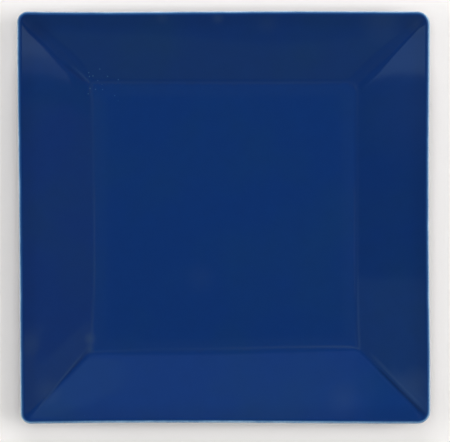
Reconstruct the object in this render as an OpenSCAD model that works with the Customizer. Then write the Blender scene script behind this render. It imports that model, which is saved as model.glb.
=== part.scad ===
// Square dinner plate: a stoneware body with a flat well, four sloping rim panels that meet
// at mitred corners, a rounded lip, an unglazed foot ring, and a glaze coat in four areas.
// The plate stands on its foot: the origin is the centre of the foot's face and Z points up.

/* [Plate] */
// Side of the square plate, measured over the glaze
plate_side = 267; // [240:1:320]
// Height from the foot's face to the crest of the lip
plate_height = 26; // [22:0.5:34]
// Corner radius of the plate seen from above
plate_corner = 6.5; // [5:0.5:20]

/* [Well] */
// Side of the flat well, from crease to crease
well_side = 175; // [169:1:190]
// Clay under the flat of the well
floor_wall = 5; // [3.5:0.1:7]
// Radius of the glazed bend from the well up to the rim
well_bend = 9; // [3:0.5:16]

/* [Rim] */
// Clay in the sloping rim, which is also the lip's diameter
rim_wall = 4.2; // [3:0.1:6]
// Radius of the bend under the plate, from the base out to the rim
under_bend = 12; // [6:0.5:20]

/* [Glaze] */
// Glaze on the face and the back
glaze_coat = 0.5; // [0.3:0.05:1]
// Glaze on the outermost line of the lip, where it runs thin
lip_coat = 0.3; // [0.1:0.05:0.5]

/* [Foot] */
// Outer side of the foot ring
foot_side = 160; // [130:1:164]
// Width of the foot ring's band
foot_width = 5; // [3.5:0.5:8]
// Height of the foot ring, from its face up to the clay
foot_height = 3.5; // [2.5:0.5:6]
// Outer corner radius of the foot ring
foot_corner = 12; // [9:1:30]
// Rounding of the foot's two lower edges
foot_edge = 1.2; // [0.4:0.1:1.6]

/* [Hidden] */
$fn = 96;

clay = "#cdb99c";
cobalt = "#102f68";
thin_cobalt = "#8fb0cf";

// Steps in the small bends and round the lip
bend_steps = 6;
lip_steps = 10;
edge_steps = 4;
// How far a cut runs past what it cuts
overrun = 1;
// Steps to a millimetre in the grid that outline points are rounded to
grid_steps = 65536;

// Levels, from the foot's face at zero
base_level = foot_height;
clay_floor_level = base_level + floor_wall;
well_level = clay_floor_level + glaze_coat;

// Centre of the round lip in the section
lip_radius = rim_wall / 2;
lip_u = plate_side / 2 - lip_radius - lip_coat;
lip_z = plate_height - lip_radius - glaze_coat;

// The rim's slope is the one that runs from the well's crease to touch the top of the lip
crease_u = well_side / 2;
crease_to_lip = norm([lip_u - crease_u, lip_z - well_level]);
slope = atan2(lip_z - well_level, lip_u - crease_u) + asin((lip_radius + glaze_coat) / crease_to_lip);

// Centre of the bend at the well's edge
well_bend_u = crease_u - well_bend * tan(slope / 2);
well_bend_z = well_level + well_bend;

// Centre of the bend under the plate, where the underside of the rim meets the base
under_lip_u = lip_u + lip_radius * sin(slope);
under_lip_z = lip_z - lip_radius * cos(slope);
under_crease_u = under_lip_u - (under_lip_z - base_level) / tan(slope);
under_bend_u = under_crease_u - under_bend * tan(slope / 2);
under_bend_z = base_level + under_bend;

// Where the plate's round corners and the foot's round corners are centred
corner_u = to_grid(plate_side / 2 - plate_corner);
foot_u = to_grid(foot_side / 2);
foot_corner_u = to_grid(foot_u - foot_corner);

// Points on an arc round a centre, from one angle to another
function arc(centre, radius, from, to, steps) =
    [for (i = [0 : steps]) centre + radius * direction(from + (to - from) * i / steps)];

function direction(angle) = [cos(angle), sin(angle)];

// Rounds points to a fine binary fraction of a millimetre, so that the sides and corners of a sweep,
// and pieces that lie on each other, share their points exactly
function on_grid(points) = [for (p = points) [to_grid(p.x), to_grid(p.y)]];

function to_grid(length) = round(length * grid_steps) / grid_steps;

function reversed(points) = [for (i = [len(points) - 1 : -1 : 0]) points[i]];

// The point of a sloping line above the corner's centre, this far above the rim's middle line
function slope_point(above) = [corner_u, lip_z + above - (lip_u - corner_u) * tan(slope)];

// The upper surface from the plate's middle to the crest of the lip, with a coat of this thickness on the clay
function face_line(coat) = concat(
    [[0, clay_floor_level + coat]],
    arc([well_bend_u, well_bend_z], well_bend + glaze_coat - coat, -90, slope - 90, bend_steps),
    [slope_point((lip_radius + coat) / cos(slope))],
    arc([lip_u, lip_z], lip_radius + coat, slope + 90, 90, bend_steps)
);

// The lower surface from the lip's underside in to the plate's middle
function back_line(coat) = concat(
    [[lip_u, lip_z] + (lip_radius + coat) * direction(slope - 90)],
    [slope_point(-(lip_radius + coat) / cos(slope))],
    arc([under_bend_u, under_bend_z], under_bend + coat, slope - 90, -90, bend_steps),
    [[0, base_level - coat]]
);

// The lip's glaze is as thick as the other coats at its crest and under the rim, and thinnest at its outermost line
function lip_glaze_at(angle) =
    lip_coat + (glaze_coat - lip_coat) * (angle > 0 ? angle / 90 : angle / (slope - 90));

// The outer side of the lip: over its crest, round, and under to the back
function lip_angles() = concat(
    [for (i = [0 : lip_steps]) 90 * (1 - i / lip_steps)],
    [for (i = [1 : lip_steps]) (slope - 90) * i / lip_steps]
);

function lip_line(glazed) = [for (angle = lip_angles())
    [lip_u, lip_z] + (lip_radius + (glazed ? lip_glaze_at(angle) : 0)) * direction(angle)];

// The points of a list without its first and its last one
function inner(points) = [for (i = [1 : len(points) - 2]) points[i]];

// Carries a section, drawn as distance from the plate's middle against height, round a square
// with mitred sides. Past the corner's centre line the section turns round the corner.
module square_sweep(corner, reach) {
    for (turn = [0 : 90 : 270]) rotate([0, 0, turn]) {
        intersection() {
            rotate([90, 0, 0]) linear_extrude(2 * reach, center = true) children();
            linear_extrude(4 * plate_height, center = true) side_area(corner, reach);
        }
        translate([corner, corner, 0]) rotate_extrude(angle = 90) intersection() {
            translate([-corner, 0]) children();
            translate([0, -plate_height]) square([reach, 3 * plate_height]);
        }
    }
}

// One side's share of the square: a triangle from the middle, then straight out past the corner's centre line
module side_area(corner, reach) {
    polygon([[0, 0], [corner, -corner], [reach, -corner], [reach, corner], [corner, corner]]);
}

// Everything inside the foot ring's outer or inner wall, from one level to another
module inside_foot(inset, from, to) {
    square_sweep(foot_corner_u, foot_u)
        polygon(on_grid([[0, from], [foot_u - inset, from], [foot_u - inset, to], [0, to]]));
}

module clay_body() {
    color(clay) square_sweep(corner_u, plate_side / 2)
        polygon(on_grid(concat(face_line(0), inner(lip_line(false)), back_line(0))));
}

// A band of clay under the well, its lower edges rounded, that leaves a bare ring to stand on
module foot_ring() {
    color(clay) square_sweep(foot_corner_u, foot_u)
        polygon(on_grid(concat(
            [[foot_u - foot_width, base_level]],
            arc([foot_u - foot_width + foot_edge, foot_edge], foot_edge, 180, 270, edge_steps),
            arc([foot_u - foot_edge, foot_edge], foot_edge, 270, 360, edge_steps),
            [[foot_u, base_level]]
        )));
}

module face_glaze() {
    color(cobalt) square_sweep(corner_u, plate_side / 2)
        polygon(on_grid(concat(face_line(0), reversed(face_line(glaze_coat)))));
}

module lip_glaze() {
    color(thin_cobalt) square_sweep(corner_u, plate_side / 2)
        polygon(on_grid(concat(lip_line(false), reversed(lip_line(true)))));
}

// The coat under the rim runs in to the foot ring's outer wall
module back_glaze() {
    color(cobalt) difference() {
        square_sweep(corner_u, plate_side / 2)
            polygon(on_grid(concat(back_line(0), reversed(back_line(glaze_coat)))));
        inside_foot(0, base_level - glaze_coat - overrun, base_level + overrun);
    }
}

module base_glaze() {
    color(cobalt) inside_foot(foot_width, base_level - glaze_coat, base_level);
}

clay_body();
foot_ring();
face_glaze();
lip_glaze();
back_glaze();
base_glaze();
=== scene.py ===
import math

import bmesh
import bpy
import numpy as np
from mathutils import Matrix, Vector


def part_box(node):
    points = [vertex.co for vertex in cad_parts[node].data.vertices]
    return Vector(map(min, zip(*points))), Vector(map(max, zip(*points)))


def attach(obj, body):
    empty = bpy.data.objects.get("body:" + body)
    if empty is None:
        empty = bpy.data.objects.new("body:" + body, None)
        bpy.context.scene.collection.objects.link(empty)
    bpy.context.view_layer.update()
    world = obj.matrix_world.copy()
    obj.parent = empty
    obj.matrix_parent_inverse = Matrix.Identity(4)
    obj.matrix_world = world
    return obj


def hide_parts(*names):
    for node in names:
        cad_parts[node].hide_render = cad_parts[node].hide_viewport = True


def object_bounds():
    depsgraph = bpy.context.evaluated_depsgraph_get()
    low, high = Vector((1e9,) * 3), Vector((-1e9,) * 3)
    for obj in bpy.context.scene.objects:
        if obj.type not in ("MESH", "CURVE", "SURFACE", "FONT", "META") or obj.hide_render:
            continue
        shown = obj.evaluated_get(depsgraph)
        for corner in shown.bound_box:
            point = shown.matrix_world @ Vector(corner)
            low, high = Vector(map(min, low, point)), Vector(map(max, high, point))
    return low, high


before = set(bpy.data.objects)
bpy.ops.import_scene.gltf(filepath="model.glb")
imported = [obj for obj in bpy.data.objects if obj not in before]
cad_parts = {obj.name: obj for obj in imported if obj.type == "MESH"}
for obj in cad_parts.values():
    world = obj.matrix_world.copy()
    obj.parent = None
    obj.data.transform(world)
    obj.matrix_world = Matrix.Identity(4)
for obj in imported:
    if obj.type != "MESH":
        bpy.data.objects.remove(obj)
cad_low, cad_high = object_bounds()

MM = 0.001

# Sizes that the frame gives
clay_low, clay_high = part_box("clay_body")
face_low, face_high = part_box("face_glaze")
HALF_SIDE = cad_high.x
HEIGHT = cad_high.z
GLAZE = HEIGHT - clay_high.z
LIP_GLAZE = HALF_SIDE - clay_high.x
LIP_LEVEL = face_high.x
LIP_RADIUS = clay_high.x - LIP_LEVEL
LIP_HEIGHT = clay_high.z - LIP_RADIUS
WELL_HEIGHT = face_low.z + GLAZE
BASE_HEIGHT = clay_low.z
FOOT_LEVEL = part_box("foot_ring")[1].x
FOOT_INNER_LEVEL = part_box("base_glaze")[1].x

# Sizes that the frame's boxes don't show, as the frame's source has them
CREASE_LEVEL = 87.5 * MM
UNDER_BEND = 12 * MM
FOOT_CORNER = 12 * MM
FOOT_EDGE = 1.2 * MM

# The photograph's frame in pixels, the plate's place in it and the camera
IMAGE_WIDTH = 450
IMAGE_HEIGHT = 442
PLATE_CENTRE_PIXEL = (224.0, 217.4)
LIP_PIXEL = 0.6455 * MM
CAMERA_HEIGHT = 1.17
SENSOR = 36

# The room that the glaze reflects is darkest straight overhead. It brightens between these two heights
# on the unit sphere of directions.
ROOM_DARK = 0.02
ROOM_DIM = 0.06
ROOM_DARK_FROM = 0.990
ROOM_DIM_FROM = 0.970
# How high the cards hang that the glaze reflects, and how far above the others some of them do
CARD_HEIGHT = 1.3
CARD_GAP = 0.01

# How the moulding softens the shape: the bend at the well's edge, the well's margin and the foot of the rim
BEND_SOFTNESS = 1.0 * MM
DISH_SHARE = 0.10
DISH_REACH = 5 * MM
KICK_SHARE = 0.10
KICK_REACH = 5 * MM
# The level inside which the face is flat
FLAT_LEVEL = 68 * MM

# Corner radii of the level lines on the face and under it, counterclockwise from the right back corner.
# The two back corners are wide valleys, and the two front ones are sharp.
OUTLINE_CORNER = [8.5 * MM, 7.0 * MM, 6.7 * MM, 8.2 * MM]
CREST_CORNER = [radius - (HALF_SIDE - LIP_LEVEL) for radius in OUTLINE_CORNER]
FACE_CORNERS = {
    FLAT_LEVEL: [0.0, 0.0, 0.0, 0.0],
    CREASE_LEVEL - 6 * MM: [6 * MM, 2.5 * MM, 2 * MM, 2 * MM],
    CREASE_LEVEL: [7.8 * MM, 2.5 * MM, 2 * MM, 2 * MM],
    102 * MM: [7.8 * MM, 8.8 * MM, 1.9 * MM, 1.7 * MM],
    110 * MM: [6.2 * MM, 7.6 * MM, 1.8 * MM, 1.5 * MM],
    116 * MM: [5.1 * MM, 6.0 * MM, 1.9 * MM, 1.6 * MM],
    127 * MM: [3.8 * MM, 6.6 * MM, 2.2 * MM, 1.8 * MM],
    LIP_LEVEL: CREST_CORNER,
    HALF_SIDE: OUTLINE_CORNER,
}
BACK_CORNERS = {
    FOOT_LEVEL: [FOOT_CORNER] * 4,
    FOOT_LEVEL + 8 * MM: [9 * MM] * 4,
    110 * MM: [6 * MM] * 4,
    LIP_LEVEL: CREST_CORNER,
    HALF_SIDE: OUTLINE_CORNER,
}

# How far each side of the outline runs in, in millimetres, at five places along it in the direction
# of +X or +Y
LIP_RUN_IN = {
    "right": [0.4, 0.65, 1.2, 0.95, 0.5],
    "back": [0.45, 0.8, 0.4, 0.3, 0.5],
    "left": [2.35, 1.75, 1.25, 0.42, 0.05],
    "front": [0.2, 0.85, 0.85, 0.5, 0.35],
}
# How far each edge of the well lies inside its nominal place, in millimetres, at the same places
CREASE_RUN_IN = {
    "right": [-0.4, 1.6, 1.7, 1.7, 1.1],
    "back": [-0.6, -0.8, -0.6, -0.6, -1.3],
    "left": [0.05, 2.45, 2.45, 2.05, 0.85],
    "front": [-1.3, -1.5, -1.1, 0.1, 1.0],
}

# How much thinner or thicker than usual the glaze runs on the lip, and how far it may pale, at the
# same places
LIP_THINNESS = {
    "right": [0.2, 0.1, 0.1, 0.15, 0.45],
    "back": [-0.1, 0.0, 0.05, 0.0, 0.0],
    "left": [-0.05, -0.1, -0.1, -0.1, -0.1],
    "front": [0.5, 0.8, 0.9, 0.8, 0.5],
}
LIP_PALENESS = {
    "right": [0.55, 0.9, 1.0, 0.9, 0.75],
    "back": [0.75, 0.85, 0.85, 0.8, 0.8],
    "left": [0.9, 1.0, 1.0, 0.9, 0.8],
    "front": [0.45, 0.5, 0.5, 0.48, 0.42],
}
# How much sooner the pale line ends under the lip than the thin glaze does
UNDER_LIP_FADE = 1.7
# How strong the painted glint is along the well's edges, at the same places
PAINTED_CREASE_GLINT = {
    "right": [0.55, 0.3, 0.2, 0.15, 0.25],
    "back": [0.35, 0.15, 0.25, 0.3, 0.15],
    "left": [0.5, 0.3, 0.25, 0.3, 0.3],
    "front": [0.3, 0.2, 0.35, 0.5, 0.9],
}
# How far outside each edge of the well that line lies, in millimetres, at the same places
PAINTED_CREASE_GLINT_PLACE = {
    "right": [1.0, 1.5, 1.5, 1.5, 1.0],
    "back": [0.0, 0.0, 0.0, 0.0, 0.0],
    "left": [0.0, 0.0, 0.0, 0.0, 0.0],
    "front": [-1.0, -3.0, -3.0, -2.8, -2.0],
}
PAINTED_CREASE_GLINT_WIDTH = 0.7 * MM
# How strong the painted sheen on the well's margin is, and how far inside the crease it begins, is full
# and begins to end
PAINTED_MARGIN_SHEEN = 0.10
MARGIN_START = 11 * MM
MARGIN_FULL = 7 * MM
MARGIN_END = 2 * MM

# Painted light and shade on the right, back, left and front panels: how much lighter or darker each panel's
# glaze is painted, and how softly one gives way to the next and to the well
PANEL_PAINTED_SHADING = [0.90, 0.925, 0.925, 1.085]
PANEL_BLEND = 1.2 * MM
WELL_BLEND = 2.5 * MM
# Painted shade by the lip: how much darker the glaze is painted there, and how far inside the lip's crest
# that begins and is full
LIP_SHADE = 0.10
LIP_SHADE_START = 12 * MM
LIP_SHADE_FULL = 3 * MM
# Painted shade along the well's edge: how much darker the glaze is painted there, and how wide
PAINTED_CREASE_SHADE = 0.03
CREASE_SHADE_WIDTH = 1.3 * MM

# Lines along the mitres: the corner, the levels in millimetres that a line runs between, its distance to
# the side panel's side of the mitre at both ends, its half width there and its strength. The corners are
# numbered counterclockwise from the right back one. Dark lines are painted shade in the mitre valleys, and
# pale ones are painted glints beside them. The last two lines of both tables are the back valleys, where
# painted shade and a painted grey reflection lie.
PAINTED_SHADE_LINES = [
    (3, (97, 133), (0.4, 1.9), (0.9, 1.1), 0.34),
    (2, (88, 124), (2.2, -0.5), (1.8, 0.6), 0.15),
    (1, (91, 106), (2.0, 4.2), (0.9, 0.9), 0.14),
    (1, (116, 136), (-1.0, -1.0), (7.0, 7.0), 0.18),
    (0, (120, 136), (-1.0, -1.0), (7.0, 7.0), 0.12),
    (1, (90, 134), (0.5, 0.3), (4.0, 4.0), 0.07),
    (0, (92, 134), (0.5, 0.0), (3.5, 4.0), 0.07),
]
# Painted glints beside the mitres, and a painted grey reflection in the back valleys
PAINTED_GLINT_LINES = [
    (3, (94, 132), (4.2, 3.8), (0.8, 0.9), 0.65),
    (3, (107, 143), (6.0, 7.5), (3.0, 4.0), 0.4),
    (2, (89, 130), (4.5, -2.3), (0.6, 0.6), 0.8),
    (1, (88, 100), (0.8, 0.7), (0.7, 0.7), 0.55),
    (1, (90, 134), (0.5, 0.3), (4.0, 4.0), 0.05),
    (0, (92, 134), (0.5, 0.0), (3.5, 4.0), 0.05),
]
# The share of its length over which such a line fades in at one end, and out at the other
LINE_FADE = 1 / 5


# Grid and rings

def half_side_shares(count, crowding=5, corner_step=0.16):
    """Places along half a side, from its middle (0) to its corner (1), closer together near the corner."""
    along = np.linspace(0, 1, count + 1)
    crowded = along ** crowding / crowding
    places = along - crowded + corner_step * crowded
    return places / places[-1]


def square_places(count):
    """Places along a whole side, from -1 to 1."""
    half = half_side_shares(count)
    return np.concatenate([-half[:0:-1], half])


def boundary(places):
    """Grid indices round a square, counterclockwise from its right front corner."""
    last = len(places) - 1
    walk = [(last, j) for j in range(last)]
    walk += [(i, last) for i in range(last, 0, -1)]
    walk += [(0, j) for j in range(last, 0, -1)]
    walk += [(i, 0) for i in range(last)]
    return walk


def smooth(low, high, value):
    """0 below low, 1 above high, and a smooth rise between them."""
    share = np.clip((value - low) / (high - low), 0, 1)
    return share * share * (3 - 2 * share)


def along_side(stations, share):
    """A smooth line through five stations, given in millimetres, along a side."""
    line = np.polyfit(np.linspace(-1, 1, len(stations)), stations, len(stations) - 1)
    return np.polyval(line, np.clip(share, -1, 1)) * MM


def run_in(table, x_share, y_share):
    """How a point moves when the four sides run in as the table says."""
    right = along_side(table["right"], y_share)
    left = along_side(table["left"], y_share)
    back = along_side(table["back"], x_share)
    front = along_side(table["front"], x_share)
    x = (1 - x_share) / 2 * left - (1 + x_share) / 2 * right
    y = (1 - y_share) / 2 * front - (1 + y_share) / 2 * back
    return np.stack([x, y], axis=-1)


def corner_radius(table, level, corner):
    """A level line's corner radius, from a table of levels with a radius for each corner."""
    levels = sorted(table)
    return np.interp(level, levels, [table[key][corner] for key in levels])


def face_corner(level, corner):
    return corner_radius(FACE_CORNERS, level, corner)


def back_corner(level, corner):
    return corner_radius(BACK_CORNERS, level, corner)


def foot_corner(level, corner):
    """The foot ring's walls turn round one centre."""
    return max(FOOT_CORNER - (FOOT_LEVEL - level), 0)


def ring(level, corner_of, places):
    """Points of a square level line with round corners, counterclockwise from the right front corner."""
    points = []
    for i, j in boundary(places):
        x_share, y_share = places[i], places[j]
        corner = (0 if y_share >= 0 else 3) if x_share >= 0 else (1 if y_share >= 0 else 2)
        radius = corner_of(level, corner)
        straight = level - radius
        along = min(abs(x_share), abs(y_share)) * (straight + radius * math.sqrt(0.5))
        across = straight + math.sqrt(radius ** 2 - max(along - straight, 0) ** 2)
        if abs(x_share) >= abs(y_share):
            points.append((math.copysign(across, x_share), math.copysign(along, y_share)))
        else:
            points.append((math.copysign(along, x_share), math.copysign(across, y_share)))
    return np.array(points)


def face_place(points, level):
    """Moves points of the face, the lip and the clay under them as the plate's sides and creases run in."""
    divisor = max(level, CREASE_LEVEL)
    x_share, y_share = points[:, 0] / divisor, points[:, 1] / divisor
    lip_share = smooth(CREASE_LEVEL, LIP_LEVEL, level)
    crease = run_in(CREASE_RUN_IN, x_share, y_share)
    lip = run_in(LIP_RUN_IN, x_share, y_share)
    return points + (1 - lip_share) * crease + lip_share * lip


def back_place(points, level):
    """Moves points of the underside: not at all at the foot, and with the lip at the lip."""
    x_share, y_share = points[:, 0] / level, points[:, 1] / level
    lip_share = smooth(FOOT_LEVEL, LIP_LEVEL, level)
    return points + lip_share * run_in(LIP_RUN_IN, x_share, y_share)


def stay(points, level):
    return points


# What a point's number is where no ring gives it one
USUAL_VALUES = {"painted_shading": 1.0, "painted_highlight": 0.0, "thinness": 0.0}

FACE = (face_corner, face_place)
BACK = (back_corner, back_place)
FOOT = (foot_corner, stay)


class Piece:
    """A closed mesh, swept as rings round the plate."""

    def __init__(self, name, count):
        self.name = name
        self.places = square_places(count)
        self.points = []
        self.values = {}
        self.faces = []
        self.rings = []

    def add_ring(self, level, height, side):
        corner_of, place = side
        flat = place(ring(level, corner_of, self.places), level)
        start = len(self.points)
        self.points.extend([(x, y, height) for x, y in flat])
        self.rings.append(list(range(start, start + len(flat))))

    def set_value(self, name, ring_number, value):
        """Gives the points of a ring a number that the material reads."""
        for point, number in zip(self.rings[ring_number], value):
            self.values.setdefault(name, {})[point] = number

    def add_rings(self, section, side):
        for level, height in section:
            self.add_ring(level, height, side)

    def join_rings(self, loop):
        """Quads between each ring and the next, and between the last and the first if loop is true."""
        pairs = list(zip(self.rings, self.rings[1:]))
        if loop:
            pairs.append((self.rings[-1], self.rings[0]))
        for inner, outer in pairs:
            size = len(inner)
            for k in range(size):
                n = (k + 1) % size
                self.faces.append((inner[k], outer[k], outer[n], inner[n]))

    def fill(self, ring_number, level, side):
        """A flat grid of quads inside a ring."""
        place = side[1]
        edge = self.rings[ring_number]
        height = self.points[edge[0]][2]
        last = len(self.places) - 1
        index = {spot: edge[k] for k, spot in enumerate(boundary(self.places))}
        spots = [(i, j) for i in range(1, last) for j in range(1, last)]
        square = np.array([(self.places[i], self.places[j]) for i, j in spots]) * level
        for spot, (x, y) in zip(spots, place(square, level)):
            index[spot] = len(self.points)
            self.points.append((x, y, height))
        for i in range(last):
            for j in range(last):
                self.faces.append((index[i, j], index[i + 1, j], index[i + 1, j + 1], index[i, j + 1]))

    def make(self, material, sharp_angle=40):
        mesh = bpy.data.meshes.new(self.name)
        mesh.from_pydata(self.points, [], self.faces)
        shape = bmesh.new()
        shape.from_mesh(mesh)
        bmesh.ops.recalc_face_normals(shape, faces=shape.faces)
        shape.to_mesh(mesh)
        shape.free()
        mesh.shade_smooth()
        mesh.set_sharp_from_angle(angle=math.radians(sharp_angle))
        for name, numbers in self.values.items():
            attribute = mesh.attributes.new(name, "FLOAT", "POINT")
            usual = USUAL_VALUES[name]
            attribute.data.foreach_set("value", [numbers.get(k, usual) for k in range(len(self.points))])
        mesh.materials.append(material)
        piece = bpy.data.objects.new(self.name, mesh)
        bpy.context.scene.collection.objects.link(piece)
        return piece


# Sections

# Steps round the lip's crest and round the bend under the plate, in a fine section and in a coarse one
CREST_STEPS = {True: 7, False: 3}
UNDER_BEND_STEPS = {True: 10, False: 4}
# How far apart the rings lie from the lip in to that bend
UNDER_RIM_STEP = {True: 4.5 * MM, False: 12 * MM}
# The crest's arc is stepped from this many degrees before the rim's end, and its first point replaces
# the rim's last one
CREST_LEAD = 4
# How softly a coat's depth goes over from the well's to the slope's
COAT_BLEND = 3 * MM
# How finely the face's profile is worked out
PROFILE_POINTS = 3000


def face_slope():
    """Angle of the rim: the line from the well's edge that touches the top of the lip."""
    start = CREASE_LEVEL - KICK_SHARE * KICK_REACH - DISH_SHARE * DISH_REACH
    run = LIP_LEVEL - start
    rise = LIP_HEIGHT - WELL_HEIGHT
    return math.atan2(rise, run) + math.asin((LIP_RADIUS + GLAZE) / math.hypot(run, rise))


SLOPE = face_slope()
TANGENT_LEVEL = LIP_LEVEL - (LIP_RADIUS + GLAZE) * math.sin(SLOPE)

# Where the face's rings lie in a fine section and in a coarse one: levels, with the step up to each
FACE_STOPS = {
    True: [(80 * MM, 3 * MM), (95 * MM, 0.7 * MM), (122 * MM, 4 * MM), (TANGENT_LEVEL, 1.6 * MM)],
    False: [(80 * MM, 6 * MM), (95 * MM, 1.9 * MM), (TANGENT_LEVEL, 9 * MM)],
}


def face_profile():
    """Levels and heights of the glazed face, finely stepped, from the flat of the well to the lip's arc."""
    levels = np.linspace(FLAT_LEVEL, TANGENT_LEVEL, PROFILE_POINTS)
    past_crease = levels - CREASE_LEVEL
    bend = 1 / (1 + np.exp(-past_crease / BEND_SOFTNESS))
    dish = DISH_SHARE * np.exp(-np.maximum(-past_crease, 0) / DISH_REACH)
    kick = KICK_SHARE * np.exp(-np.maximum(past_crease, 0) / KICK_REACH)
    gradient = math.tan(SLOPE) * (bend * (1 + kick) + (1 - bend) * dish)
    rises = (gradient[1:] + gradient[:-1]) / 2 * np.diff(levels)
    heights = WELL_HEIGHT + np.concatenate([[0], np.cumsum(rises)])
    tangent_height = LIP_HEIGHT + (LIP_RADIUS + GLAZE) * math.cos(SLOPE)
    full_rise = heights[-1] - WELL_HEIGHT
    heights = WELL_HEIGHT + (heights - WELL_HEIGHT) * (tangent_height - WELL_HEIGHT) / full_rise
    return levels, heights


FACE_PROFILE = face_profile()


def steps(*stops):
    """Levels from stop to stop: pairs of a level and the step up to it."""
    levels = [stops[0]]
    for level, step in stops[1:]:
        count = max(1, round((level - levels[-1]) / step))
        levels.extend(np.linspace(levels[-1], level, count + 1)[1:])
    return levels


def arc(level, height, radius, start, end, count):
    """Section points on an arc, without its first one. The angles are in degrees."""
    angles = np.radians(np.linspace(start, end, count + 1)[1:])
    return [(level + radius * math.cos(a), height + radius * math.sin(a)) for a in angles]


def face_section(coat, fine=True):
    """The face from the flat of the well to the crest of the lip, this far above the clay."""
    levels = steps(FLAT_LEVEL, *FACE_STOPS[fine])
    heights = np.interp(levels, *FACE_PROFILE)
    below = (GLAZE - coat) / math.cos(SLOPE)
    flat_below = GLAZE - coat
    share = smooth(CREASE_LEVEL - COAT_BLEND, CREASE_LEVEL + COAT_BLEND, np.array(levels))
    heights = heights - (flat_below + (below - flat_below) * share)
    section = list(zip(levels, heights))
    start = math.degrees(SLOPE) + 90 + CREST_LEAD
    return section[:-1] + arc(LIP_LEVEL, LIP_HEIGHT, LIP_RADIUS + coat, start, 90, CREST_STEPS[fine])


def lip_thickness(angle):
    """Glaze on the lip: thinnest at its outermost line."""
    under = math.degrees(SLOPE) - 90
    share = angle / 90 if angle > 0 else angle / under
    return LIP_GLAZE + (GLAZE - LIP_GLAZE) * share


def lip_angles(count):
    return np.linspace(90, math.degrees(SLOPE) - 90, count + 1)


def lip_section(glazed, count):
    """Round the lip, from its crest to its underside."""
    points = []
    for angle in lip_angles(count):
        radius = LIP_RADIUS + (lip_thickness(angle) if glazed else 0)
        radians = math.radians(angle)
        points.append((LIP_LEVEL + radius * math.cos(radians), LIP_HEIGHT + radius * math.sin(radians)))
    return points


def back_section(coat, fine=True):
    """The underside from the lip in to the base, this far out from the clay."""
    under = math.degrees(SLOPE) - 90
    radius = LIP_RADIUS + coat
    start = (LIP_LEVEL + radius * math.cos(math.radians(under)),
             LIP_HEIGHT + radius * math.sin(math.radians(under)))
    base = BASE_HEIGHT - coat
    crease = start[0] - (start[1] - base) / math.tan(SLOPE)
    bend = UNDER_BEND + coat
    half_bend = bend * math.tan(SLOPE / 2)
    top_of_bend = crease + half_bend * math.cos(SLOPE)
    line_levels = steps(top_of_bend, (start[0], UNDER_RIM_STEP[fine]))[::-1]
    line = [(level, base + (level - crease) * math.tan(SLOPE)) for level in line_levels]
    curve = arc(crease - half_bend, base + bend, bend, under, -90, UNDER_BEND_STEPS[fine])
    return line + curve


# Depth of colour

def side_weights(points):
    """How much each point belongs to the right, back, left and front panel."""
    reach = np.stack([points[:, 0], points[:, 1], -points[:, 0], -points[:, 1]], axis=-1)
    weight = np.exp((reach - reach.max(axis=1, keepdims=True)) / PANEL_BLEND)
    return weight / weight.sum(axis=1, keepdims=True)


def side_value(table, points, level):
    """A value that the table gives at five places along each side, blended over the corners."""
    stations = np.linspace(-1, 1, len(table["right"]))
    shares = [points[:, 1] / level, points[:, 0] / level] * 2
    values = [np.interp(share, stations, table[side])
              for share, side in zip(shares, ("right", "back", "left", "front"))]
    return (side_weights(points) * np.stack(values, axis=-1)).sum(axis=1)


def mitre_line(points, level, corner, levels, offsets, widths):
    """1 on a line along a corner's mitre, falling to 0 at its sides and at its ends."""
    right, back = points[:, 0] >= 0, points[:, 1] >= 0
    here = (right == (corner in (0, 3))) & (back == (corner in (0, 1)))
    share = (level / MM - levels[0]) / (levels[1] - levels[0])
    ends = min(1, share / LINE_FADE, (1 - share) / LINE_FADE)
    if ends <= 0:
        return np.zeros(len(points))
    offset = offsets[0] + (offsets[1] - offsets[0]) * share
    width = widths[0] + (widths[1] - widths[0]) * share
    past_mitre = (np.abs(points[:, 0]) - np.abs(points[:, 1])) / math.sqrt(2) / MM
    return here * ends * np.exp(-(((past_mitre - offset) / width) ** 2))


def painted_glaze_shading(points, level):
    """Painted light and shade in the glaze's colour: lighter or darker by panel, and darker by the lip,
    along the well's edge and in the mitre valleys.
    """
    weight = side_weights(points)
    panel = weight @ np.array(PANEL_PAINTED_SHADING)
    on_panel = smooth(CREASE_LEVEL - WELL_BLEND, CREASE_LEVEL + WELL_BLEND, level)
    painted_shading = 1 + (panel - 1) * on_panel
    painted_shading *= 1 - LIP_SHADE * smooth(LIP_LEVEL - LIP_SHADE_START, LIP_LEVEL - LIP_SHADE_FULL, level)
    painted_shading *= 1 - PAINTED_CREASE_SHADE * math.exp(-(((level - CREASE_LEVEL) / CREASE_SHADE_WIDTH) ** 2))
    for corner, levels, offsets, widths, strength in PAINTED_SHADE_LINES:
        painted_shading *= 1 - strength * mitre_line(points, level, corner, levels, offsets, widths)
    return painted_shading


def painted_glaze_highlights(points, level):
    """Painted highlights: how pale and grey the glaze is painted along the mitres and the well's edges, and
    on its margin.
    """
    painted_highlight = np.zeros(len(points))
    for corner, levels, offsets, widths, strength in PAINTED_GLINT_LINES:
        painted_highlight += strength * mitre_line(points, level, corner, levels, offsets, widths)
    shine = side_value(PAINTED_CREASE_GLINT, points, level)
    past_line = level - CREASE_LEVEL - side_value(PAINTED_CREASE_GLINT_PLACE, points, level) * MM
    painted_highlight += shine * np.exp(-((past_line / PAINTED_CREASE_GLINT_WIDTH) ** 2))
    margin = smooth(CREASE_LEVEL - MARGIN_START, CREASE_LEVEL - MARGIN_FULL, level)
    painted_highlight += PAINTED_MARGIN_SHEEN * margin * (1 - smooth(CREASE_LEVEL - MARGIN_END, CREASE_LEVEL, level))
    return np.minimum(painted_highlight, 1)


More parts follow.
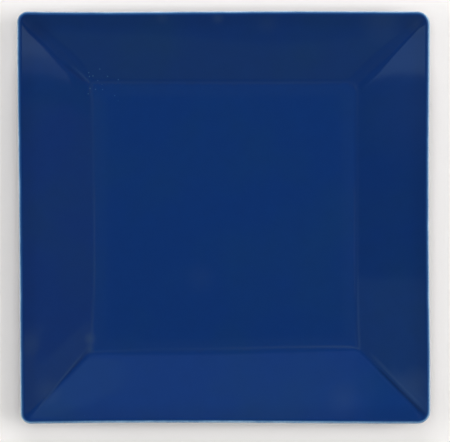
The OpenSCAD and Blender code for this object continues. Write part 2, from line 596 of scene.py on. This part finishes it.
def lip_thinness(points, angle):
    """How thin the glaze runs: 0 where it is a full coat, 1 on the lip's outermost line."""
    extra = side_value(LIP_THINNESS, points, LIP_LEVEL)
    thin = (GLAZE - lip_thickness(angle)) / (GLAZE - LIP_GLAZE)
    if angle < 0:
        thin = max(0, 1 - UNDER_LIP_FADE * (1 - thin))
    return np.minimum(thin * (1 + extra), side_value(LIP_PALENESS, points, LIP_LEVEL))


# Pieces

# Places along half a side, in the pieces that are seen and in the others
FINE = 44
COARSE = 18
# Steps round the lip over its glaze and under it, and round the foot's edges
LIP_STEPS = 26
INNER_LIP_STEPS = 8
FOOT_EDGE_STEPS = 6
# How far inside the foot's walls a grid fills the underside
FILL_INSET = 6 * MM


def build_face_glaze(material):
    piece = Piece("face_glaze_coat", FINE)
    section = face_section(GLAZE)
    piece.add_rings(section, FACE)
    for k, (level, height) in enumerate(section):
        points = ring(level, face_corner, piece.places)
        # The ring's points carry painted light and shade, and painted highlights, that the material reads
        piece.set_value("painted_shading", k, painted_glaze_shading(points, level))
        piece.set_value("painted_highlight", k, painted_glaze_highlights(points, level))
    piece.add_rings(face_section(0, fine=False)[::-1], FACE)
    piece.join_rings(loop=False)
    piece.fill(0, FLAT_LEVEL, FACE)
    piece.fill(-1, FLAT_LEVEL, FACE)
    return piece.make(material)


def build_lip_glaze(material):
    piece = Piece("lip_glaze_coat", FINE)
    piece.add_rings(lip_section(True, LIP_STEPS), FACE)
    for k, angle in enumerate(lip_angles(LIP_STEPS)):
        piece.set_value("thinness", k, lip_thinness(ring(LIP_LEVEL, face_corner, piece.places), angle))
    piece.add_rings(lip_section(False, INNER_LIP_STEPS)[::-1], FACE)
    piece.join_rings(loop=True)
    return piece.make(material)


def build_back_glaze(material):
    piece = Piece("back_glaze_coat", FINE)
    outer = back_section(GLAZE) + [(FOOT_LEVEL, BASE_HEIGHT - GLAZE)]
    inner = back_section(0, fine=False) + [(FOOT_LEVEL, BASE_HEIGHT)]
    piece.add_rings(outer, BACK)
    piece.add_rings(inner[::-1], BACK)
    piece.join_rings(loop=True)
    return piece.make(material)


def build_base_glaze(material):
    piece = Piece("base_glaze_coat", COARSE)
    inside = FOOT_INNER_LEVEL - FILL_INSET
    piece.add_rings([(inside, BASE_HEIGHT - GLAZE), (FOOT_INNER_LEVEL, BASE_HEIGHT - GLAZE),
                     (FOOT_INNER_LEVEL, BASE_HEIGHT), (inside, BASE_HEIGHT)], FOOT)
    piece.join_rings(loop=False)
    piece.fill(0, inside, FOOT)
    piece.fill(-1, inside, FOOT)
    return piece.make(material)


def build_foot_ring(material):
    piece = Piece("foot_band", COARSE)
    section = [(FOOT_INNER_LEVEL, BASE_HEIGHT), (FOOT_INNER_LEVEL, FOOT_EDGE)]
    section += arc(FOOT_INNER_LEVEL + FOOT_EDGE, FOOT_EDGE, FOOT_EDGE, 180, 270, FOOT_EDGE_STEPS)
    section += [(FOOT_LEVEL - FOOT_EDGE, 0)]
    section += arc(FOOT_LEVEL - FOOT_EDGE, FOOT_EDGE, FOOT_EDGE, 270, 360, FOOT_EDGE_STEPS)
    section += [(FOOT_LEVEL, BASE_HEIGHT)]
    piece.add_rings(section, FOOT)
    piece.join_rings(loop=True)
    return piece.make(material)


def build_clay(material):
    piece = Piece("clay_plate", COARSE)
    piece.add_rings(face_section(0, fine=False), FACE)
    piece.add_rings(lip_section(False, INNER_LIP_STEPS)[1:-1], FACE)
    inside = FOOT_LEVEL - FILL_INSET
    piece.add_rings(back_section(0, fine=False), BACK)
    piece.add_ring(FOOT_LEVEL, BASE_HEIGHT, BACK)
    piece.add_ring(inside, BASE_HEIGHT, FOOT)
    piece.join_rings(loop=False)
    piece.fill(0, FLAT_LEVEL, FACE)
    piece.fill(-1, inside, FOOT)
    return piece.make(material)


# Materials

COBALT = (0.0028, 0.0255, 0.131)
GREENER_COBALT = (0.0036, 0.0278, 0.121)
THIN_COBALT = (0.010, 0.053, 0.178)
PALE_SPECK = (0.035, 0.10, 0.21)
# Pale grey-blue of the painted highlights, glints and sheen, and of the one smudge
SMUDGE_AND_GLINT_COBALT = (0.0165, 0.045, 0.135)
MIDDLE_BLUE = (0.055, 0.15, 0.32)
PALE_BLUE = (0.15, 0.29, 0.48)
PALER_BLUE = (0.36, 0.52, 0.70)
PALEST_BLUE = (0.50, 0.64, 0.80)
CLAY = (0.61, 0.485, 0.332)
SPECK = (0.20, 0.13, 0.08)

# The lip's colours as its glaze gets thinner
LIP_COLOURS = [
    (0.20, THIN_COBALT),
    (0.34, MIDDLE_BLUE),
    (0.46, PALE_BLUE),
    (0.62, PALER_BLUE),
    (1.0, PALEST_BLUE),
]
# How thin the glaze is where they have taken over from the thick glaze's colour
LIP_COLOURS_FULL = 0.12
# How far those colours wander along the lip and how grainy their edges are, as shares of the thinness
LIP_WANDER = 0.16
LIP_GRAIN = 0.06

ROUGHNESS = {"cobalt_glaze": 0.05, "cobalt_under_glaze": 0.07, "thin_edge_glaze": 0.06, "bare_clay": 0.85}

# Sizes of the clouds in the colours, and sizes and depths of the relief
CLOUD_SIZE = 45 * MM
FINE_CLOUD_SIZE = 9 * MM
WANDER_SIZE = 14 * MM
GRAIN_SIZE = 1.5 * MM
CLAY_CLOUD_SIZE = 12 * MM
WAVE_SIZE = 6 * MM
WAVE_DEPTH = 0.002 * MM
SAND_SIZE = 0.6 * MM
SAND_DEPTH = 0.08 * MM
BIT_DEPTH = 0.02 * MM

# Specks: the size of the cells that they lie in, their radius, and the share of cells that have one
PINHOLES = (9 * MM, 0.35 * MM, 0.05)
BITS = (14 * MM, 0.5 * MM, 0.12)
IRON_SPECKS = (2.2 * MM, 0.3 * MM, 0.25)
# The inner share of its radius in which a speck has its full strength
SPECK_CORE = 0.4

# The pinholes crowd round one place: where it is, and how far from it there are no more of them
CROWD_PLACE = (-0.080, 0.085, 0.010)
CROWD_REACH = 17 * MM
# How far apart they are there, and their radius
CROWD_PINHOLES = (2.4 * MM, 0.5 * MM)
# The share of cells that have one at the place itself. Above 1, every cell close by has one too.
CROWD_SHARE = 1.2

# Soft paler patches on the face, the first a smudge and the others painted highlights and glints: their
# places, radii and strengths
SMUDGE_AND_HIGHLIGHT_PATCHES = [
    ((-0.0155, -0.0395, 0.009), 12 * MM, 0.22),
    ((0.078, -0.118, 0.021), 14 * MM, 0.30),
    ((0.128, 0.070, 0.023), 45 * MM, 0.22),
    ((0.1245, -0.107, 0.022), 13 * MM, 0.7),
    ((0.028, 0.125, 0.024), 8 * MM, 0.3),
    ((0.103, 0.127, 0.024), 18 * MM, 0.5),
    ((0.124, 0.125, 0.024), 8 * MM, 0.5),
    ((-0.1145, -0.1125, 0.020), 11 * MM, 0.5),
    ((-0.1265, -0.082, 0.022), 9 * MM, 0.50),
    ((-0.0878, -0.079, 0.009), 5 * MM, 1.0),
    ((-0.0878, -0.086, 0.009), 4 * MM, 0.7),
    ((-0.004, 0.129, 0.024), 5 * MM, 0.8),
    ((-0.040, 0.129, 0.024), 5 * MM, 0.6),
]


class Shader:
    """A material's node tree, with short ways to add its nodes."""

    def __init__(self, name):
        self.material = bpy.data.materials.new(name)
        self.material.use_nodes = True
        self.tree = self.material.node_tree
        self.surface = self.tree.nodes["Principled BSDF"]
        self.surface.inputs["Roughness"].default_value = ROUGHNESS[name]
        self.place = self.add("ShaderNodeTexCoord").outputs["Object"]

    def add(self, kind, inputs=None, **settings):
        node = self.tree.nodes.new(kind)
        for name, value in settings.items():
            setattr(node, name, value)
        for name, value in (inputs or {}).items():
            if isinstance(value, bpy.types.NodeSocket):
                self.tree.links.new(value, node.inputs[name])
            else:
                node.inputs[name].default_value = value
        return node

    def noise(self, size, detail=2):
        """Cloudy noise from 0 to 1, with clouds about this many metres across."""
        inputs = {"Vector": self.place, "Scale": 1 / size, "Detail": detail}
        return self.add("ShaderNodeTexNoise", inputs).outputs["Fac"]

    def spread(self, value, low, high, to_low=0.0, to_high=1.0):
        """Carries a value from one range to another, and holds it inside that."""
        inputs = {"Value": value, "From Min": low, "From Max": high, "To Min": to_low, "To Max": to_high}
        return self.add("ShaderNodeMapRange", inputs).outputs["Result"]

    def maths(self, operation, first, second):
        return self.add("ShaderNodeMath", {0: first, 1: second}, operation=operation).outputs[0]

    def attribute(self, name):
        return self.add("ShaderNodeAttribute", attribute_name=name).outputs["Fac"]

    def mix(self, share, first, second):
        """One colour to another. Colours may be sockets or triples."""
        node = self.add("ShaderNodeMix", {"Factor": share}, data_type="RGBA")
        for socket, colour in zip([s for s in node.inputs if s.type == "RGBA"], (first, second)):
            if isinstance(colour, bpy.types.NodeSocket):
                self.tree.links.new(colour, socket)
            else:
                socket.default_value = (*colour, 1)
        return [s for s in node.outputs if s.type == "RGBA"][0]

    def scale(self, colour, factor):
        """A colour, as a socket or a triple, made lighter or darker."""
        node = self.add("ShaderNodeVectorMath", {0: colour, "Scale": factor}, operation="SCALE")
        return node.outputs["Vector"]

    def ramp(self, value, stops):
        """Colours along a value. The stops are places with a colour each."""
        node = self.add("ShaderNodeValToRGB", {"Fac": value})
        elements = node.color_ramp.elements
        while len(elements) < len(stops):
            elements.new(0.5)
        for element, (place, colour) in zip(elements, stops):
            element.position = place
            element.color = (*colour, 1)
        return node.outputs["Color"]

    def specks(self, spacing, radius, share):
        """1 in small round specks, one in each chosen cell of this many metres, and 0 elsewhere."""
        inputs = {"Vector": self.place, "Scale": 1 / spacing}
        cells = self.add("ShaderNodeTexVoronoi", inputs)
        dot = self.spread(cells.outputs["Distance"], radius / spacing, SPECK_CORE * radius / spacing)
        red = self.add("ShaderNodeSeparateColor", {"Color": cells.outputs["Color"]}).outputs[0]
        chosen = self.maths("LESS_THAN", red, share)
        return self.maths("MULTIPLY", dot, chosen)

    def near(self, place, radius):
        """1 at a place on the plate, falling to 0 at this distance from it."""
        apart = self.add("ShaderNodeVectorMath", {0: self.place, 1: place}, operation="DISTANCE")
        return self.spread(apart.outputs["Value"], radius, 0.0)

    def bump(self, height, depth, below=None):
        """Small relief: the height, from 0 to 1, is this many metres deep."""
        inputs = {"Height": height, "Distance": depth, "Strength": 1.0}
        if below:
            inputs["Normal"] = below
        return self.add("ShaderNodeBump", inputs).outputs["Normal"]

    def finish(self, colour, normal):
        self.tree.links.new(colour, self.surface.inputs["Base Color"])
        self.tree.links.new(normal, self.surface.inputs["Normal"])
        return self.material


def glaze_body(shader):
    """The thick glaze's colour: cobalt, with faint greener clouds and a few pale pinholes."""
    clouds = shader.spread(shader.noise(CLOUD_SIZE), 0.45, 0.75)
    fine_clouds = shader.spread(shader.noise(FINE_CLOUD_SIZE), 0.3, 0.8, 0.97, 1.03)
    colour = shader.scale(shader.mix(clouds, COBALT, GREENER_COBALT), fine_clouds)
    return shader.mix(shader.specks(*PINHOLES), colour, THIN_COBALT)


def add_face_marks(shader, body):
    """A smudge and painted highlights as soft paler patches, and pinholes crowded at the well's left back
    corner.
    """
    for place, radius, strength in SMUDGE_AND_HIGHLIGHT_PATCHES:
        body = shader.mix(shader.maths("MULTIPLY", shader.near(place, radius), strength), body, SMUDGE_AND_GLINT_COBALT)
    crowd = shader.maths("MULTIPLY", shader.near(CROWD_PLACE, CROWD_REACH), CROWD_SHARE)
    return shader.mix(shader.specks(*CROWD_PINHOLES, crowd), body, PALE_SPECK)


def glaze_relief(shader):
    """The skin of the glaze: very slightly wavy, with pinholes and a few bits in it."""
    waves = shader.bump(shader.noise(WAVE_SIZE), WAVE_DEPTH)
    return shader.bump(shader.specks(*BITS), BIT_DEPTH, waves)


def cobalt_glaze():
    """The thick glaze on the face, with its painted light and shade and its painted highlights."""
    shader = Shader("cobalt_glaze")
    body = shader.scale(add_face_marks(shader, glaze_body(shader)), shader.attribute("painted_shading"))
    return shader.finish(shader.mix(shader.attribute("painted_highlight"), body, SMUDGE_AND_GLINT_COBALT), glaze_relief(shader))


def under_glaze():
    """The same glaze on the underside, where no light or shade is painted."""
    shader = Shader("cobalt_under_glaze")
    return shader.finish(glaze_body(shader), glaze_relief(shader))


def thin_glaze():
    """The glaze on the lip: it breaks from cobalt to pale blue where it runs thin."""
    shader = Shader("thin_edge_glaze")
    wander = shader.spread(shader.noise(WANDER_SIZE), 0.25, 0.75, -LIP_WANDER, LIP_WANDER)
    grain = shader.spread(shader.noise(GRAIN_SIZE), 0.3, 0.7, -LIP_GRAIN, LIP_GRAIN)
    thinness = shader.attribute("thinness")
    shift = shader.maths("MULTIPLY", thinness, shader.maths("ADD", wander, grain))
    moved = shader.maths("ADD", thinness, shift)
    pale = shader.ramp(moved, LIP_COLOURS)
    # The thick glaze's colour, darker by the painted shade by the lip
    body = shader.scale(glaze_body(shader), 1 - LIP_SHADE)
    broken = shader.spread(moved, 0.0, LIP_COLOURS_FULL)
    return shader.finish(shader.mix(broken, body, pale), glaze_relief(shader))


def bare_clay():
    """Fired stoneware: sandy, with dark iron specks."""
    shader = Shader("bare_clay")
    clouds = shader.spread(shader.noise(CLAY_CLOUD_SIZE), 0.3, 0.7, 0.9, 1.06)
    sand = shader.noise(SAND_SIZE)
    colour = shader.mix(shader.specks(*IRON_SPECKS), shader.scale(CLAY, clouds), SPECK)
    return shader.finish(colour, shader.bump(sand, SAND_DEPTH))


cobalt = cobalt_glaze()
under_cobalt = under_glaze()
thin = thin_glaze()
clay = bare_clay()

for build, node, slot, material in [
    (build_clay, "clay_body", "bare_clay", clay),
    (build_foot_ring, "foot_ring", "bare_clay", clay),
    (build_face_glaze, "face_glaze", "cobalt_glaze", cobalt),
    (build_lip_glaze, "lip_glaze", "thin_edge_glaze", thin),
    (build_back_glaze, "back_glaze", "cobalt_glaze", under_cobalt),
    (build_base_glaze, "base_glaze", "cobalt_glaze", under_cobalt),
]:
    made = build(material)
    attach(made, "root")
    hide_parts(node)


# Stage

# The floor: its two inner rings, the edge of its flat, the radius and the angles of its curve, the top of
# its wall, and how many points go round it
FLOOR_RINGS = [0.4, 1.2]
FLOOR_EDGE = 2.6
FLOOR_CURVE = 0.6
CURVE_ANGLES = range(10, 91, 10)
WALL_TOP = 1.1
FLOOR_TURNS = 96
FLOOR_COLOUR = (0.854, 0.827, 0.812, 1)
FLOOR_ROUGHNESS = 0.9
# The backdrop, and how far from the plate it begins to show and has taken over
BACKDROP_COLOUR = (0.86, 0.85, 0.835, 1)
BACKDROP_START = 0.4
BACKDROP_FULL = 1.3

# Lamps: place, side and brightness
LAMPS = {
    "overhead": ((0, 0, 1.8), 0.9, 4.7),
    "right_lamp": ((1.11, 0, 1.42), 0.9, 6.1),
    "back_lamp": ((0, 1.68, 0.89), 0.7, 9.5),
    "left_lamp": ((-1.68, 0, 0.89), 0.7, 7.2),
}
# Cards: how far they reach in X and in Y, colour, turn in degrees and height above CARD_HEIGHT. Each shows
# in the rim panel on the other side of the plate, or in that side's bend at the well's edge.
CARDS = {
    "right_card": ((0.62, 1.2), (-0.5, 0.19), (0.045, 0.025, 0.06), 0, 0),
    "right_front_card": ((0.62, 0.815), (-0.6, -0.16), (0.075, 0.13, 0.06), 0, CARD_GAP),
    "right_front_far": ((0.815, 1.2), (-0.6, -0.22), (0.075, 0.13, 0.06), 0, CARD_GAP),
    "back_card": ((-0.5, 0.195), (0.6, 1.2), (0.085, 0.115, 0.19), 0, 0),
    "back_edge_card": ((0.195, 0.225), (0.6, 1.2), (0.045, 0.06, 0.10), 0, 0),
    "back_left_card": ((-0.53, -0.23), (0.65, 1.25), (0.06, 0.12, 0.02), -38, CARD_GAP),
    "front_card": ((-0.62, 0.62), (-1.2, -0.872), (0.08, 0.14, 0.065), 0, 0),
    "front_near_card": ((-0.62, 0.62), (-0.872, -0.3), (0.038, 0.06, 0.045), 0, 0),
    "front_edge_card": ((-0.62, 0.62), (-0.3, -0.17), (0.045, 0.06, 0.03), 0, 0),
    "right_crease_card": ((0.2, 0.45), (-0.12, 0.05), (0.10, 0.12, 0.10), 0, 0),
    "left_crease_card": ((-0.45, -0.2), (-0.12, 0.05), (0.10, 0.12, 0.10), 0, 0),
    "left_card": ((-1.2, -0.62), (-0.6, -0.10), (0.065, 0.12, 0.15), 0, 0),
    "right_back_card": ((0.6, 0.8375), (0.227, 0.7), (0.19, 0.25, 0.23), 5, 0),
    "right_back_bright": ((0.58, 0.8065), (0.250, 0.7), (0.24, 0.33, 0.28), 4, CARD_GAP),
    "left_back_card": ((-0.96, -0.62), (0.232, 0.688), (0.32, 0.53, 0.68), -6, 0),
}


def build_floor():
    """A round pale floor that curves up to a low wall."""
    profile = [(radius, 0) for radius in (*FLOOR_RINGS, FLOOR_EDGE)]
    for angle in CURVE_ANGLES:
        across = FLOOR_CURVE * math.sin(math.radians(angle))
        down = FLOOR_CURVE * math.cos(math.radians(angle))
        profile.append((FLOOR_EDGE + across, FLOOR_CURVE - down))
    profile.append((FLOOR_EDGE + FLOOR_CURVE, WALL_TOP))
    turns = FLOOR_TURNS
    points = []
    faces = []
    for radius, height in profile:
        for k in range(turns):
            angle = 2 * math.pi * k / turns
            points.append((radius * math.cos(angle), radius * math.sin(angle), height))
    for row in range(len(profile) - 1):
        for k in range(turns):
            n = (k + 1) % turns
            faces.append((row * turns + k, (row + 1) * turns + k, (row + 1) * turns + n, row * turns + n))
    faces.append(tuple(range(turns)))
    mesh = bpy.data.meshes.new("floor")
    mesh.from_pydata(points, [], faces)
    mesh.shade_smooth()
    floor = bpy.data.objects.new("floor", mesh)
    paper = bpy.data.materials.new("pale_floor")
    paper.use_nodes = True
    surface = paper.node_tree.nodes["Principled BSDF"]
    surface.inputs["Base Color"].default_value = FLOOR_COLOUR
    surface.inputs["Roughness"].default_value = FLOOR_ROUGHNESS
    surface.inputs["Specular IOR Level"].default_value = 0
    fade_far_floor(paper.node_tree, surface)
    mesh.materials.append(paper)
    bpy.context.scene.collection.objects.link(floor)


def fade_far_floor(tree, surface):
    """Far from the plate the camera sees a plain pale backdrop, which lights nothing."""
    nodes, links = tree.nodes, tree.links
    place = nodes.new("ShaderNodeTexCoord").outputs["Object"]
    reach = nodes.new("ShaderNodeVectorMath")
    reach.operation = "LENGTH"
    links.new(place, reach.inputs[0])
    far = nodes.new("ShaderNodeMapRange")
    far.interpolation_type = "SMOOTHSTEP"
    links.new(reach.outputs["Value"], far.inputs["Value"])
    far.inputs["From Min"].default_value = BACKDROP_START
    far.inputs["From Max"].default_value = BACKDROP_FULL
    seen = nodes.new("ShaderNodeMath")
    seen.operation = "MULTIPLY"
    links.new(far.outputs["Result"], seen.inputs[0])
    links.new(nodes.new("ShaderNodeLightPath").outputs["Is Camera Ray"], seen.inputs[1])
    backdrop = nodes.new("ShaderNodeEmission")
    backdrop.inputs["Color"].default_value = BACKDROP_COLOUR
    mix = nodes.new("ShaderNodeMixShader")
    links.new(seen.outputs[0], mix.inputs["Fac"])
    links.new(surface.outputs[0], mix.inputs[1])
    links.new(backdrop.outputs[0], mix.inputs[2])
    links.new(mix.outputs[0], nodes["Material Output"].inputs["Surface"])


def build_camera():
    """Straight above the photograph's middle, at the scale that the plate has in the photograph."""
    distance = CAMERA_HEIGHT - LIP_HEIGHT
    data = bpy.data.cameras.new("camera")
    data.sensor_width = SENSOR
    data.lens = SENSOR * distance / (IMAGE_WIDTH * LIP_PIXEL)
    camera = bpy.data.objects.new("camera", data)
    x = (IMAGE_WIDTH / 2 - PLATE_CENTRE_PIXEL[0]) * LIP_PIXEL
    y = (PLATE_CENTRE_PIXEL[1] - IMAGE_HEIGHT / 2) * LIP_PIXEL
    camera.location = (x, y, CAMERA_HEIGHT)
    bpy.context.scene.collection.objects.link(camera)
    bpy.context.scene.camera = camera


def area_light(name, width, length, radiance):
    """A rectangular light. Its face has this brightness, where 1 shows as white."""
    data = bpy.data.lights.new(name, "AREA")
    data.shape = "RECTANGLE"
    data.size = width
    data.size_y = length
    data.energy = radiance * math.pi * width * length
    light = bpy.data.objects.new(name, data)
    light.visible_camera = False
    bpy.context.scene.collection.objects.link(light)
    return light


def soft_box(name, place, side, radiance):
    """A large lamp that lights the scene and isn't seen in the glaze."""
    light = area_light(name, side, side, radiance)
    light.location = place
    light.rotation_mode = "QUATERNION"
    light.rotation_quaternion = (-Vector(place)).to_track_quat("-Z", "Y")
    light.visible_glossy = False


def card(name, x_range, y_range, colour, turn, above):
    """A dim level panel overhead that the glaze reflects.

    Where two cards lie at one height only one is seen, and a card CARD_GAP above another adds to it."""
    light = area_light(name, x_range[1] - x_range[0], y_range[1] - y_range[0], 1)
    light.location = (sum(x_range) / 2, sum(y_range) / 2, CARD_HEIGHT + above)
    light.rotation_euler.z = math.radians(turn)
    light.data.color = colour


def build_world():
    """A dim room, darkest straight overhead where the camera hangs."""
    world = bpy.data.worlds.new("world")
    world.use_nodes = True
    nodes, links = world.node_tree.nodes, world.node_tree.links
    direction = nodes.new("ShaderNodeTexCoord").outputs["Generated"]
    upward = nodes.new("ShaderNodeSeparateXYZ")
    links.new(direction, upward.inputs[0])
    fade = nodes.new("ShaderNodeMapRange")
    links.new(upward.outputs["Z"], fade.inputs["Value"])
    fade.inputs["From Min"].default_value = ROOM_DARK_FROM
    fade.inputs["From Max"].default_value = ROOM_DIM_FROM
    fade.inputs["To Min"].default_value = ROOM_DARK
    fade.inputs["To Max"].default_value = ROOM_DIM
    links.new(fade.outputs["Result"], nodes["Background"].inputs["Color"])
    bpy.context.scene.world = world


def build_lights():
    for name, lamp in LAMPS.items():
        soft_box(name, *lamp)
    for name, place in CARDS.items():
        card(name, *place)


build_floor()
build_camera()
build_world()
build_lights()

bpy.context.scene.view_settings.view_transform = "Standard"
